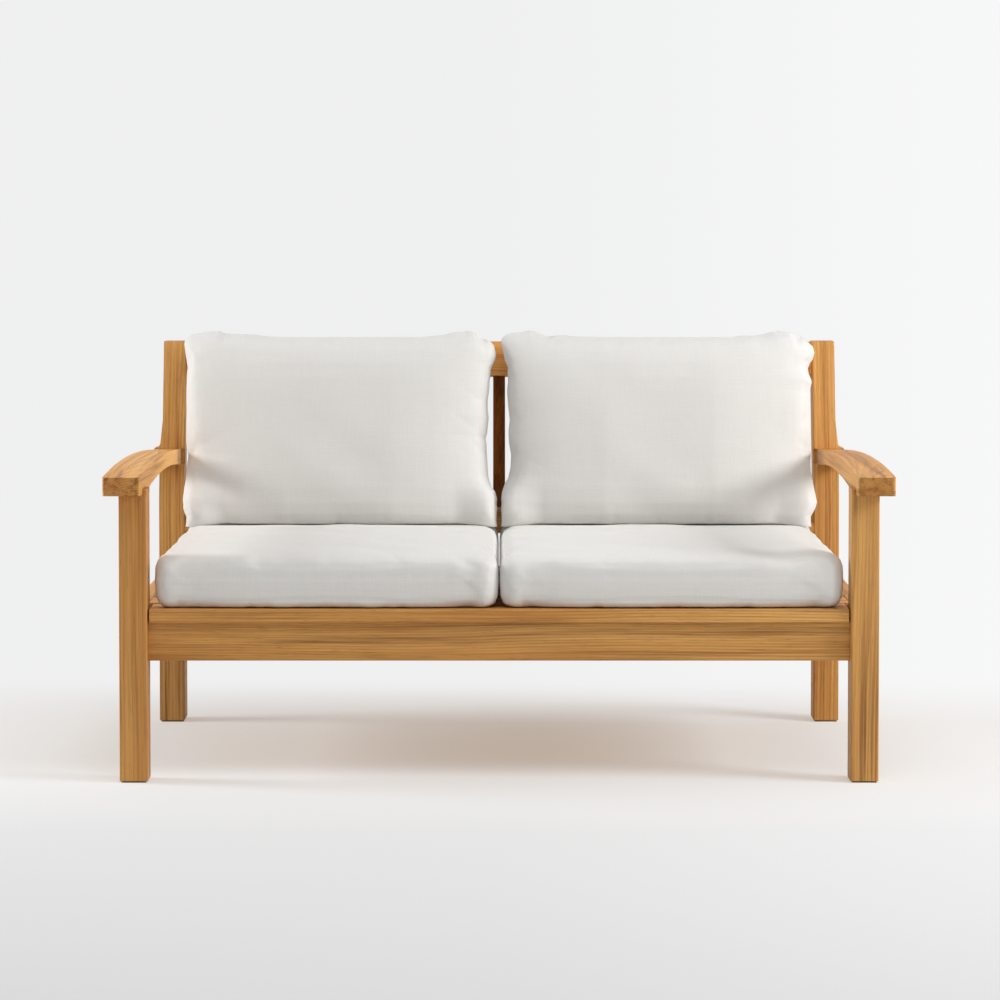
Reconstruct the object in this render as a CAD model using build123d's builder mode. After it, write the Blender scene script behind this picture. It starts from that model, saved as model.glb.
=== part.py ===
from build123d import *
from math import atan2, cos, degrees, radians, sin
import os

# A two-seat patio loveseat of oiled hardwood with four loose cushions.
# Millimetres. X runs along the seat, the sitter faces -Y, +Z is up, and the origin lies on the
# floor under the middle of the whole seat. Pieces on the +X side are built, the others mirrored.

# Overall size
overall_width = 1410
overall_depth = 745
back_height = 761
arm_height = 551
seat_height = 311

# Fits shared by all the timber joints
edge_round = 2.5
overrun = 5
tenon_clearance = 0.2
tenon_end_gap = 0.5
rest_gap = 0.3

# Front legs
leg_width = 50
leg_depth = 50
arm_side_overhang = 25
arm_nose_overhang = 30
leg_tenon_size = 24
leg_tenon_length = 18
leg_lip_height = 10

# Back posts: upright below the seat, raked above it
post_depth = 50
post_top_depth = 42
back_sweep = 46.5
rear_bend_share = 0.6535
post_bend_radius = 350
post_waist_inset = 1
post_top_inset = 5
post_ease_height = 44
post_lip_height = 1.5
arm_housing_depth = 8

# Armrests
arm_front_width = 68
arm_rear_width = 54
arm_thickness = 33
arm_crown_rise = 11
arm_rear_drop = 4
arm_arch_rise = 15
arm_arch_margin = 12
arm_side_bulge = 2.5
arm_tongue_reach = 38
arm_corner_radius = 6

# Seat frame
apron_height = 70
apron_thickness = 25
apron_setback = 18
rear_rail_setback = 6
side_rail_thickness = 28
side_rail_inset = 10
stub_tenon_thickness = 12
stub_tenon_height = 41
stub_tenon_length = 16
stub_tenon_top_margin = 8
cleat_width = 25
cleat_height = 25
bearer_width = 30
bearer_height = 61
bearer_tenon_length = 10
block_height = 24
block_reach = 55
block_rise = 1
block_pocket_floor = 12

# Seat slats
slat_count = 7
seat_slat_gap = 14
seat_slat_thickness = 24
front_slat_overhang = 10
slat_rear_gap = 2
slat_end_gap = 2
front_slat_end_gap = 3

# Back frame
back_inset = 12
back_rail_thickness = 28
top_rail_height = 70
lower_rail_height = 50
lower_rail_rise_share = 0.1556
back_slat_count = 11
back_slat_width = 24
back_slat_thickness = 14
back_slat_tenon = 12

# Knock-down hardware
bolt_diameter = 6
bolt_length = 80
bolt_head_diameter = 10
bolt_head_height = 6
bolt_socket_width = 5
bolt_socket_depth = 3
washer_diameter = 14
washer_thickness = 1.2
counterbore_depth = 10
hardware_clearance = 0.2
thread_clearance = 0.1
barrel_diameter = 10
barrel_length = 16
barrel_setback = 28
dowel_diameter = 8
dowel_in_leg = 16
dowel_in_rail = 24
dowel_spread = 23
lower_dowel_spread = 17
seat_bolt_rise = 33

# Screws and plugs
screw_diameter = 4
screw_head_diameter = 8
screw_length = 40
cleat_screw_length = 38
block_screw_length = 30
slat_screw_spread = 22
front_screw_count = 6
front_screw_inset = 80
arm_screw_length = 60
plug_diameter = 10
plug_length = 8

# Glides under the feet
glide_size = 44
glide_thickness = 3
glide_pin_diameter = 3
glide_pin_length = 12

# Seat cushions
middle_gap = 6
seat_cushion_side_gap = 13
seat_cushion_front_setback = 10
seat_cushion_rear_gap = 7
seat_cushion_edge = 90
seat_cushion_crown = 13
landing_height = 406
landing_front = 150
seat_draw_in = 7

# Back cushions
back_cushion_side_gap = 1
back_cushion_rise = 17
back_cushion_hidden = 40
back_cushion_rear_depth = 48
back_cushion_front_depth = 92
back_side_draw_in = 16
back_top_draw_in = 9
back_cushion_middle_gap = 10
seam_corner_radius = 14

# Covers and cores
cover_thickness = 3
core_gap = 0.3

# Lines and planes that the pieces share
half_width = overall_width / 2
nose_y = -overall_depth / 2
tail_y = overall_depth / 2
leg_outer = half_width - arm_side_overhang
leg_inner = leg_outer - leg_width
leg_front = nose_y + arm_nose_overhang
leg_back = leg_front + leg_depth
leg_middle_x = leg_outer - leg_width / 2
leg_middle_y = leg_front + leg_depth / 2
post_back = tail_y - back_sweep
post_front = post_back - post_depth
post_middle_y = post_front + post_depth / 2
rear_bend = back_height * rear_bend_share
rake_slope = back_sweep / (back_height - rear_bend)
rake = degrees(atan2(back_sweep, back_height - rear_bend))
post_top_run = post_top_depth / cos(radians(rake))
arm_inner = half_width - arm_front_width
arm_bottom = arm_height - arm_thickness
arm_rear_top = arm_height - arm_rear_drop
arm_outer_rear = arm_inner + arm_rear_width
apron_front = leg_front + apron_setback
apron_back = apron_front + apron_thickness
slat_bottom = seat_height - seat_slat_thickness
apron_bottom = slat_bottom - apron_height
rear_rail_front = post_front + rear_rail_setback
rear_rail_back = rear_rail_front + apron_thickness
side_rail_inner = leg_inner + side_rail_inset
side_rail_outer = side_rail_inner + side_rail_thickness
cleat_inner = side_rail_inner - cleat_width
slat_first = apron_front - front_slat_overhang
slat_last = post_front - slat_rear_gap
seat_slat_width = (slat_last - slat_first - (slat_count - 1) * seat_slat_gap) / slat_count
slat_pitch = seat_slat_width + seat_slat_gap
front_screw_pitch = (leg_inner - front_screw_inset) * 2 / (front_screw_count - 1)
back_slat_pitch = leg_inner * 2 / (back_slat_count + 1)
lower_rail_bottom = seat_height + (back_height - seat_height) * lower_rail_rise_share
cushion_clear_x = leg_inner - seat_cushion_side_gap


def post_front_at(height):
    """How far back the raked front face of a post lies at a height."""
    return tail_y - post_top_run - (back_height - height) * rake_slope


def post_rear_at(height):
    """How far back the raked rear face of a post lies at a height."""
    return tail_y - (back_height - height) * rake_slope


front_bend = back_height - (tail_y - post_top_run - post_front) / rake_slope
arm_end = post_front_at((arm_bottom + arm_rear_top) / 2) + arm_housing_depth
tongue_end = post_front_at(arm_rear_top) + arm_tongue_reach

# The plane of the back rails' front faces: local x runs along the seat, local y up the rake,
# and its normal points to the front, so the rails lie at negative local z.
back_foot_z = arm_rear_top
back_foot_y = post_front_at(back_foot_z) + back_inset / cos(radians(rake))
lower_rail_front = back_foot_y - (back_foot_z - lower_rail_bottom) * rake_slope
back_plane = Plane(
    origin=(0, back_foot_y, back_foot_z),
    x_dir=(1, 0, 0),
    z_dir=(0, -cos(radians(rake)), sin(radians(rake))),
)


def up_rake(height):
    """The local y in the back plane of a point of that plane at a height."""
    return (height - back_foot_z) / cos(radians(rake))


top_rail_top = up_rake(back_height)
top_rail_low = top_rail_top - top_rail_height
lower_rail_low = up_rake(lower_rail_bottom)
lower_rail_top = lower_rail_low + lower_rail_height
back_slat_deep = (back_rail_thickness - back_slat_thickness) / 2


def save(part, name):
    """Label a finished piece and write it under its name."""
    part.label = name
    export_step(part, f"parts/{name}.step")


def save_both_sides(right, name):
    """Write a piece of the +X side and its mirror image on the other side."""
    save(right, f"{name}_right")
    with BuildPart() as left:
        mirror(right, about=Plane.YZ)
    save(left.part, f"{name}_left")


def block(low, high, mode=Mode.ADD):
    """A box between two corners."""
    size = [top - bottom for bottom, top in zip(low, high)]
    with Locations(Location(tuple(low))):
        return Box(*size, align=(Align.MIN, Align.MIN, Align.MIN), mode=mode)


# The knock-down joints. Each is a plane on the outer face of a leg or post, centred on the bolt:
# local z points outwards, and local x points along the line of the two dowels.
seat_bolt_z = apron_bottom + seat_bolt_rise
apron_middle_y = (apron_front + apron_back) / 2
rear_rail_middle_y = (rear_rail_front + rear_rail_back) / 2
rail_middle = Vector(0, 0, -back_rail_thickness / 2)
top_middle = Vector(0, top_rail_top - top_rail_height / 2, 0) + rail_middle
lower_middle = Vector(0, lower_rail_low + lower_rail_height / 2, 0) + rail_middle
top_joint_place = back_plane.from_local_coords(top_middle)
lower_joint_place = back_plane.from_local_coords(lower_middle)
post_top_outer = leg_outer - post_top_inset
rear_face = Vector(0, 1, 0)
back_normal = Vector(0, cos(radians(rake)), -sin(radians(rake)))
level_up = Vector(0, 0, 1)
raked_up = Vector(0, sin(radians(rake)), cos(radians(rake)))

joints = {
    "apron": (leg_outer, Vector(0, apron_middle_y, seat_bolt_z), level_up, rear_face,
              apron_thickness, dowel_spread),
    "rear": (leg_outer, Vector(0, rear_rail_middle_y, seat_bolt_z), level_up, -rear_face,
             apron_thickness, dowel_spread),
    "top": (post_top_outer, top_joint_place, raked_up, back_normal,
            back_rail_thickness, dowel_spread),
    "lower": (leg_outer, lower_joint_place, raked_up, back_normal,
              back_rail_thickness, lower_dowel_spread),
}


def outer_plane(joint, side=1):
    """The plane of a joint on the outer face of its leg or post."""
    outer, middle, up, _, _, _ = joints[joint]
    return Plane(origin=(side * outer, middle.Y, middle.Z), x_dir=up, z_dir=(side, 0, 0))


def shoulder_plane(joint, side=1):
    """The same plane moved in to where the rail meets the leg or post."""
    return outer_plane(joint, side).offset(leg_inner - joints[joint][0])


def barrel_plane(joint, side=1):
    """A plane on the face that the barrel nut goes in by, centred on the nut, facing out."""
    _, middle, _, face, thickness, _ = joints[joint]
    centre = Vector(side * (leg_inner - barrel_setback), middle.Y, middle.Z)
    return Plane(origin=centre + face * (thickness / 2), x_dir=(1, 0, 0), z_dir=face)


def bolt_reach(joint):
    """How deep a bolt's tip lies below the outer face of its joint."""
    return counterbore_depth - washer_thickness + bolt_length


def dowel_places(joint):
    """The two dowel centres of a joint, in its own plane."""
    spread = joints[joint][5]
    return [(-spread, 0), (spread, 0)]


def bore_upright(joint):
    """Cut a joint's bolt hole and dowel holes in the leg or post being built."""
    bolt_radius = bolt_diameter / 2 + hardware_clearance
    counterbore_radius = washer_diameter / 2 + hardware_clearance
    with Locations(outer_plane(joint).location):
        CounterBoreHole(bolt_radius, counterbore_radius, counterbore_depth, leg_width + overrun)
    deep = dowel_in_leg + tenon_end_gap
    with Locations(shoulder_plane(joint).location):
        with Locations(*dowel_places(joint)):
            Cylinder(dowel_diameter / 2 + thread_clearance, deep, mode=Mode.SUBTRACT,
                     align=(Align.CENTER, Align.CENTER, Align.MIN))


def bore_rail(joint):
    """Cut a joint's holes in both ends of the rail being built."""
    shoulder_depth = joints[joint][0] - leg_inner
    tip = bolt_reach(joint) - shoulder_depth + tenon_end_gap
    for side in (-1, 1):
        with Locations(shoulder_plane(joint, side).location):
            Hole(bolt_diameter / 2 + hardware_clearance, tip)
            with Locations(*dowel_places(joint)):
                Hole(dowel_diameter / 2 + thread_clearance, dowel_in_rail + tenon_end_gap)
        nut_depth = joints[joint][4] / 2 + barrel_length / 2 + tenon_end_gap
        with Locations(barrel_plane(joint, side).location):
            Hole(barrel_diameter / 2 + thread_clearance, nut_depth)


# Screws: each place is a plane on the face where the head sits, facing out of the wood.
def slat_middle_y(index):
    """The middle line of a seat slat, counted from the front."""
    return slat_first + seat_slat_width / 2 + index * slat_pitch


def down_at(x, y):
    """A plane on the slats' top face that looks up."""
    return Plane(origin=(x, y, seat_height), x_dir=(1, 0, 0), z_dir=(0, 0, 1))


cleat_middle_x = (cleat_inner + side_rail_inner) / 2
front_screws = [
    down_at((number - (front_screw_count - 1) / 2) * front_screw_pitch, apron_middle_y)
    for number in range(front_screw_count)
]


def slat_screw_places(index):
    """Where the screws of one seat slat stand."""
    if index == 0:
        return front_screws
    rows = (slat_middle_y(index) - slat_screw_spread, slat_middle_y(index) + slat_screw_spread)
    return [down_at(x, y) for x in (-cleat_middle_x, 0, cleat_middle_x) for y in rows]


rear_slat_screws = [place for index in range(1, slat_count) for place in slat_screw_places(index)]
cleat_screw_z = slat_bottom - cleat_height / 2
cleat_screw_ys = [
    slat_middle_y(index) + slat_pitch / 2
    for index in range(0, slat_count - 1, 2)
]


def cleat_screw_places(side):
    """Screws through a cleat into its side rail."""
    return [
        Plane(origin=(side * cleat_inner, y, cleat_screw_z), x_dir=(0, 1, 0), z_dir=(-side, 0, 0))
        for y in cleat_screw_ys
    ]


block_low = apron_bottom + block_rise
block_screw_z = block_low + block_height / 2
block_screw_inset = block_reach / 3


def block_screw_places(side, end):
    """The two screws of a corner block; end is -1 at the front and 1 at the rear."""
    rail_face = apron_back if end < 0 else rear_rail_front
    leg_face = leg_back if end < 0 else post_front
    across_x = side * (leg_inner - block_reach + block_screw_inset)
    along_y = leg_face - end * (block_reach - block_screw_inset)
    into_rail = Plane(origin=(across_x, rail_face - end * block_pocket_floor, block_screw_z),
                      x_dir=(1, 0, 0), z_dir=(0, -end, 0))
    into_side = Plane(
        origin=(side * (side_rail_inner - block_pocket_floor), along_y, block_screw_z),
        x_dir=(0, 1, 0), z_dir=(-side, 0, 0))
    return [into_rail, into_side]


arm_screw_z = (arm_bottom + arm_rear_top) / 2


def arm_screw_place(side):
    """The screw through a post into the end of an arm, on a level seat in the post's rear."""
    face = post_rear_at(arm_screw_z) - plug_length
    return Plane(origin=(side * leg_middle_x, face, arm_screw_z), x_dir=(1, 0, 0),
                 z_dir=(0, 1, 0))


def pilot_holes(places, length):
    """Cut plain pilot holes for screws whose heads sit on these planes."""
    with Locations(*[place.location for place in places]):
        Hole(screw_diameter / 2 + thread_clearance, length + tenon_end_gap)


def sunk_holes(places, length):
    """Cut countersunk screw holes from these planes."""
    with Locations(*[place.location for place in places]):
        CounterSinkHole(screw_diameter / 2 + thread_clearance,
                        screw_head_diameter / 2 + thread_clearance, length + tenon_end_gap)


def screws(places, length):
    """Add countersunk screws with a socket in the head."""
    head_height = (screw_head_diameter - screw_diameter) / 2
    downwards = (Align.CENTER, Align.CENTER, Align.MAX)
    socket = screw_diameter / 2
    with Locations(*[place.location for place in places]):
        Cylinder(screw_diameter / 2, length, align=downwards)
        Cone(screw_diameter / 2, screw_head_diameter / 2, head_height, align=downwards)
        Box(socket, socket, head_height / 2, align=downwards, mode=Mode.SUBTRACT)


# Front legs
with BuildPart() as front_leg:
    block((leg_inner, leg_front, glide_thickness), (leg_outer, leg_back, arm_bottom))
    fillet(front_leg.edges().filter_by(Axis.Z), edge_round)
    block((leg_inner, leg_front, arm_bottom), (arm_inner, leg_back, arm_bottom + leg_lip_height))
    lip_top = front_leg.faces().sort_by(Axis.Z)[-1]
    fillet(lip_top.edges().filter_by(Axis.X), edge_round)
    with Locations((leg_middle_x, leg_middle_y, arm_bottom)):
        Box(leg_tenon_size, leg_tenon_size, leg_tenon_length,
            align=(Align.CENTER, Align.CENTER, Align.MIN))
    bore_upright("apron")
    tenon_top = seat_height - stub_tenon_top_margin
    rail_middle_x = (side_rail_inner + side_rail_outer) / 2
    mortise_half = stub_tenon_thickness / 2 + tenon_clearance
    block((rail_middle_x - mortise_half, leg_back - stub_tenon_length - tenon_end_gap,
           tenon_top - stub_tenon_height - tenon_clearance),
          (rail_middle_x + mortise_half, leg_back + overrun, tenon_top + tenon_clearance),
          mode=Mode.SUBTRACT)
    with Locations((leg_middle_x, leg_middle_y, glide_thickness)):
        Cylinder(glide_pin_diameter / 2 + thread_clearance, glide_pin_length + tenon_end_gap,
                 align=(Align.CENTER, Align.CENTER, Align.MIN), mode=Mode.SUBTRACT)
save_both_sides(front_leg.part, "front_leg")

# Back posts
with BuildPart() as back_post:
    with BuildSketch(Plane.YZ.offset(leg_inner)):
        with BuildLine():
            Polyline(
                (post_front, glide_thickness),
                (post_back, glide_thickness),
                (post_back, rear_bend),
                (tail_y, back_height),
                (tail_y - post_top_run, back_height),
                (post_front, front_bend),
                close=True,
            )
        make_face()
    extrude(amount=arm_outer_rear - leg_inner)
    bends = [edge for edge in back_post.edges().filter_by(Axis.X)
             if glide_thickness < edge.center().Z < back_height]
    fillet(bends, post_bend_radius)
    waist = leg_outer - post_waist_inset
    cove = arm_outer_rear - waist
    cove_low = arm_rear_top + post_lip_height
    ease_top = cove_low + cove + post_ease_height
    with BuildSketch(Plane.XZ.offset(-tail_y - overrun)):
        with BuildLine():
            Line((leg_inner, glide_thickness), (leg_outer, glide_thickness))
            Line((leg_outer, glide_thickness), (leg_outer, arm_rear_top))
            Line((leg_outer, arm_rear_top), (arm_outer_rear, arm_rear_top))
            Line((arm_outer_rear, arm_rear_top), (arm_outer_rear, cove_low))
            RadiusArc((arm_outer_rear, cove_low), (waist, cove_low + cove), cove)
            Line((waist, cove_low + cove), (post_top_outer, ease_top))
            Line((post_top_outer, ease_top), (post_top_outer, back_height))
            Line((post_top_outer, back_height), (leg_inner, back_height))
            Line((leg_inner, back_height), (leg_inner, glide_thickness))
        make_face()
    extrude(amount=overall_depth, mode=Mode.INTERSECT)
    corners = (back_post.faces().filter_by(Axis.X).sort_by(Axis.X)[0]).edges()
    fillet(corners, edge_round)
    block((leg_inner - overrun, post_front_at(arm_bottom) - overrun, arm_bottom),
          (leg_outer, arm_end, arm_rear_top), mode=Mode.SUBTRACT)
    bore_upright("rear")
    bore_upright("top")
    bore_upright("lower")
    block((rail_middle_x - mortise_half, post_front - overrun,
           tenon_top - stub_tenon_height - tenon_clearance),
          (rail_middle_x + mortise_half, post_front + stub_tenon_length + tenon_end_gap,
           tenon_top + tenon_clearance), mode=Mode.SUBTRACT)
    with Locations((leg_middle_x, post_middle_y, glide_thickness)):
        Cylinder(glide_pin_diameter / 2 + thread_clearance, glide_pin_length + tenon_end_gap,
                 align=(Align.CENTER, Align.CENTER, Align.MIN), mode=Mode.SUBTRACT)
    with Locations(arm_screw_place(1).offset(plug_length + overrun).location):
        Hole(plug_diameter / 2 + thread_clearance, plug_length + overrun)
    sunk_holes([arm_screw_place(1)], arm_screw_length)
save_both_sides(back_post.part, "back_post")

# Armrests
with BuildPart() as armrest:
    with BuildSketch():
        with BuildLine():
            Line((arm_inner, nose_y), (half_width, nose_y))
            side_run = ((half_width + arm_outer_rear) / 2 + arm_side_bulge,
                        (nose_y + post_front) / 2)
            ThreePointArc((half_width, nose_y), side_run, (arm_outer_rear, post_front))
            Line((arm_outer_rear, post_front), (arm_outer_rear, tongue_end))
            tongue_inner = leg_outer + tenon_clearance
            Line((arm_outer_rear, tongue_end), (tongue_inner, tongue_end))
            Line((tongue_inner, tongue_end), (tongue_inner, arm_end))
            Line((tongue_inner, arm_end), (arm_inner, arm_end))
            Line((arm_inner, arm_end), (arm_inner, nose_y))
        make_face()
    extrude(amount=overall_depth)
    with BuildSketch(Plane.YZ.offset(arm_inner - overrun)):
        with BuildLine():
            crown = ((nose_y + post_front) / 2, arm_height + arm_crown_rise)
            arch_front = leg_back + arm_arch_margin
            arch_rear = post_front - arm_arch_margin
            arch = ((arch_front + arch_rear) / 2, arm_bottom + arm_arch_rise)
            Line((nose_y, arm_bottom), (nose_y, arm_height))
            ThreePointArc((nose_y, arm_height), crown, (post_front, arm_rear_top))
            Line((post_front, arm_rear_top), (tongue_end, arm_rear_top))
            Line((tongue_end, arm_rear_top), (tongue_end, arm_bottom))
            Line((tongue_end, arm_bottom), (arch_rear, arm_bottom))
            ThreePointArc((arch_rear, arm_bottom), arch, (arch_front, arm_bottom))
            Line((arch_front, arm_bottom), (nose_y, arm_bottom))
        make_face()
    extrude(amount=arm_front_width + overrun + overrun, mode=Mode.INTERSECT)
    fillet(armrest.edges().filter_by(Axis.Z).group_by(Axis.Y)[0], arm_corner_radius)
    mortise_size = leg_tenon_size + tenon_clearance * 2
    with Locations((leg_middle_x, leg_middle_y, arm_bottom)):
        Box(mortise_size, mortise_size, leg_tenon_length + tenon_end_gap,
            align=(Align.CENTER, Align.CENTER, Align.MIN), mode=Mode.SUBTRACT)
    pilot_holes([arm_screw_place(1)], arm_screw_length)
save_both_sides(armrest.part, "armrest")

# Front apron and rear seat rail
with BuildPart() as front_apron:
    block((-leg_inner, apron_front, apron_bottom), (leg_inner, apron_back, slat_bottom))
    fillet(front_apron.edges().filter_by(Axis.X), edge_round)
    bore_rail("apron")
    bearer_half = bearer_width / 2 + tenon_clearance
    bearer_low = slat_bottom - bearer_height - tenon_clearance
    block((-bearer_half, apron_back - bearer_tenon_length - tenon_end_gap, bearer_low),
          (bearer_half, apron_back + overrun, slat_bottom + overrun), mode=Mode.SUBTRACT)
    pilot_holes(front_screws, screw_length)
    for side in (-1, 1):
        pilot_holes(block_screw_places(side, -1)[:1], block_screw_length)
save(front_apron.part, "front_apron")

with BuildPart() as rear_seat_rail:
    block((-leg_inner, rear_rail_front, apron_bottom), (leg_inner, rear_rail_back, seat_height))
    fillet(rear_seat_rail.edges().filter_by(Axis.X), edge_round)
    bore_rail("rear")
    block((-bearer_half, rear_rail_front - overrun, bearer_low),
          (bearer_half, rear_rail_front + bearer_tenon_length + tenon_end_gap,
           slat_bottom + tenon_clearance), mode=Mode.SUBTRACT)
    for side in (-1, 1):
        pilot_holes(block_screw_places(side, 1)[:1], block_screw_length)
save(rear_seat_rail.part, "rear_seat_rail")

# Side rails with a stub tenon at each end
with BuildPart() as side_rail:
    block((side_rail_inner, leg_back, apron_bottom), (side_rail_outer, post_front, seat_height))
    fillet(side_rail.edges().filter_by(Axis.Y), edge_round)
    tenon_half = stub_tenon_thickness / 2
    block((rail_middle_x - tenon_half, leg_back - stub_tenon_length,
           tenon_top - stub_tenon_height),
          (rail_middle_x + tenon_half, post_front + stub_tenon_length, tenon_top))
    pilot_holes(cleat_screw_places(1), cleat_screw_length)
    for end in (-1, 1):
        pilot_holes(block_screw_places(1, end)[1:], block_screw_length)
save_both_sides(side_rail.part, "side_rail")

# Cleats that carry the slat ends
with BuildPart() as slat_cleat:
    block((cleat_inner, leg_back, slat_bottom - cleat_height),
          (side_rail_inner, post_front, slat_bottom))
    rear_ends = [place for place in rear_slat_screws if place.origin.X > 0]
    pilot_holes(rear_ends, screw_length)
    sunk_holes(cleat_screw_places(1), cleat_screw_length)
save_both_sides(slat_cleat.part, "slat_cleat")

# Centre bearer between the apron and the rear rail
with BuildPart() as centre_bearer:
    block((-bearer_width / 2, apron_back - bearer_tenon_length, slat_bottom - bearer_height),
          (bearer_width / 2, rear_rail_front + bearer_tenon_length, slat_bottom))
    middle_screws = [place for place in rear_slat_screws if place.origin.X == 0]
    pilot_holes(middle_screws, screw_length)
save(centre_bearer.part, "centre_bearer")

# Corner blocks
with BuildPart() as corner_blocks:
    for side in (-1, 1):
        for end in (-1, 1):
            rail_face = apron_back if end < 0 else rear_rail_front
            leg_face = leg_back if end < 0 else post_front
            with BuildSketch(Plane.XY.offset(block_low)):
                with BuildLine():
                    Polyline(
                        (side * leg_inner, rail_face),
                        (side * (leg_inner - block_reach), rail_face),
                        (side * side_rail_inner, leg_face - end * block_reach),
                        (side * side_rail_inner, leg_face),
                        (side * leg_inner, leg_face),
                        close=True,
                    )
                make_face()
            extrude(amount=block_height)
            places = block_screw_places(side, end)
            sunk_holes(places, block_screw_length)
            with Locations(*[place.offset(block_reach).location for place in places]):
                Hole(plug_diameter / 2, block_reach)
save(corner_blocks.part, "corner_blocks")


def make_seat_slat(index):
    """One seat slat; the front one lies between the legs and runs over the apron."""
    half_length = side_rail_inner - slat_end_gap if index else leg_inner - front_slat_end_gap
    low_y = slat_first + index * slat_pitch
    with BuildPart() as seat_slat:
        block((-half_length, low_y, slat_bottom),
              (half_length, low_y + seat_slat_width, seat_height))
        fillet(seat_slat.edges().filter_by(Axis.X), edge_round)
        sunk_holes(slat_screw_places(index), screw_length)
    return seat_slat.part


for index in range(slat_count):
    save(make_seat_slat(index), f"seat_slat_{index + 1}")


def make_back_rail(low, high, mortise_low, mortise_high, joint):
    """A rail of the back in the raked plane, with a mortise for each back slat."""
    with BuildPart() as back_rail:
        with BuildSketch(back_plane):
            with Locations((0, (low + high) / 2)):
                Rectangle(leg_inner * 2, high - low)
        extrude(amount=-back_rail_thickness)
        fillet(back_rail.edges().filter_by(Axis.X), edge_round)
        with BuildSketch(back_plane.offset(-back_slat_deep + tenon_clearance)):
            with Locations((0, (mortise_low + mortise_high) / 2)):
                with GridLocations(back_slat_pitch, back_slat_pitch, back_slat_count, 1):
                    Rectangle(back_slat_width + tenon_clearance * 2, mortise_high - mortise_low)
        extrude(amount=-back_slat_thickness - tenon_clearance * 2, mode=Mode.SUBTRACT)
        bore_rail(joint)
    return back_rail.part


mortise_deep = back_slat_tenon + tenon_end_gap
save(make_back_rail(top_rail_low, top_rail_top, top_rail_low - overrun,
                    top_rail_low + mortise_deep, "top"), "top_rail")
save(make_back_rail(lower_rail_low, lower_rail_top, lower_rail_top - mortise_deep,
                    lower_rail_top + overrun, "lower"), "lower_back_rail")


def make_back_slat(number):
    """One upright slat of the back, its plain ends let into the two rails."""
    middle = (number - (back_slat_count - 1) / 2) * back_slat_pitch
    low = lower_rail_top - back_slat_tenon
    high = top_rail_low + back_slat_tenon
    with BuildPart() as back_slat:
        with BuildSketch(back_plane.offset(-back_slat_deep)):
            with Locations((middle, (low + high) / 2)):
                Rectangle(back_slat_width, high - low)
        extrude(amount=-back_slat_thickness)
        uprights = back_slat.edges().group_by(SortBy.LENGTH)[-1]
        fillet(uprights, edge_round)
    return back_slat.part


for number in range(back_slat_count):
    save(make_back_slat(number), f"back_slat_{number + 1}")

# Bolts, washers, barrel nuts and dowels of the eight knock-down joints
joint_sides = [(joint, side) for joint in joints for side in (-1, 1)]
seats = [outer_plane(joint, side).offset(-counterbore_depth) for joint, side in joint_sides]
raised = [seat.offset(washer_thickness) for seat in seats]

with BuildPart() as frame_bolts:
    with BuildSketch(*raised):
        Circle(bolt_diameter / 2)
    extrude(amount=-bolt_length)
    with BuildSketch(*raised):
        Circle(bolt_head_diameter / 2)
    extrude(amount=bolt_head_height)
    with BuildSketch(*[plane.offset(bolt_head_height) for plane in raised]):
        RegularPolygon(bolt_socket_width / 2, 6, major_radius=False)
    extrude(amount=-bolt_socket_depth, mode=Mode.SUBTRACT)
save(frame_bolts.part, "frame_bolts")

with BuildPart() as bolt_washers:
    with BuildSketch(*seats):
        Circle(washer_diameter / 2)
        Circle(bolt_diameter / 2 + hardware_clearance, mode=Mode.SUBTRACT)
    extrude(amount=washer_thickness)
save(bolt_washers.part, "bolt_washers")

with BuildPart() as barrel_nuts:
    for joint, side in joint_sides:
        thickness = joints[joint][4]
        with BuildSketch(barrel_plane(joint, side).offset((barrel_length - thickness) / 2)):
            Circle(barrel_diameter / 2)
        extrude(amount=-barrel_length)
    with BuildSketch(*[shoulder_plane(joint, side) for joint, side in joint_sides]):
        Circle(bolt_diameter / 2 + thread_clearance)
    extrude(amount=-barrel_setback - barrel_diameter, mode=Mode.SUBTRACT)
save(barrel_nuts.part, "barrel_nuts")

with BuildPart() as dowels:
    for joint, side in joint_sides:
        with BuildSketch(shoulder_plane(joint, side).offset(dowel_in_leg)):
            with Locations(*dowel_places(joint)):
                Circle(dowel_diameter / 2)
        extrude(amount=-dowel_in_leg - dowel_in_rail)
save(dowels.part, "dowels")

# Screws and plugs
with BuildPart() as slat_screws:
    screws(front_screws + rear_slat_screws, screw_length)
save(slat_screws.part, "slat_screws")

with BuildPart() as frame_screws:
    for side in (-1, 1):
        screws(cleat_screw_places(side), cleat_screw_length)
        for end in (-1, 1):
            screws(block_screw_places(side, end), block_screw_length)
save(frame_screws.part, "frame_screws")

with BuildPart() as arm_screws:
    for side in (-1, 1):
        screws([arm_screw_place(side)], arm_screw_length)
save(arm_screws.part, "arm_screws")

with BuildPart() as arm_plugs:
    for side in (-1, 1):
        with BuildSketch(arm_screw_place(side)):
            Circle(plug_diameter / 2)
        extrude(amount=plug_length)
save(arm_plugs.part, "arm_plugs")

# Foot glides, each with a pin into its foot
with BuildPart() as foot_glides:
    for side in (-1, 1):
        for foot_y in (leg_middle_y, post_middle_y):
            with Locations((side * leg_middle_x, foot_y, 0)):
                Box(glide_size, glide_size, glide_thickness,
                    align=(Align.CENTER, Align.CENTER, Align.MIN))
                Cylinder(glide_pin_diameter / 2, glide_thickness + glide_pin_length,
                         align=(Align.CENTER, Align.CENTER, Align.MIN))
save(foot_glides.part, "foot_glides")


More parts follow.
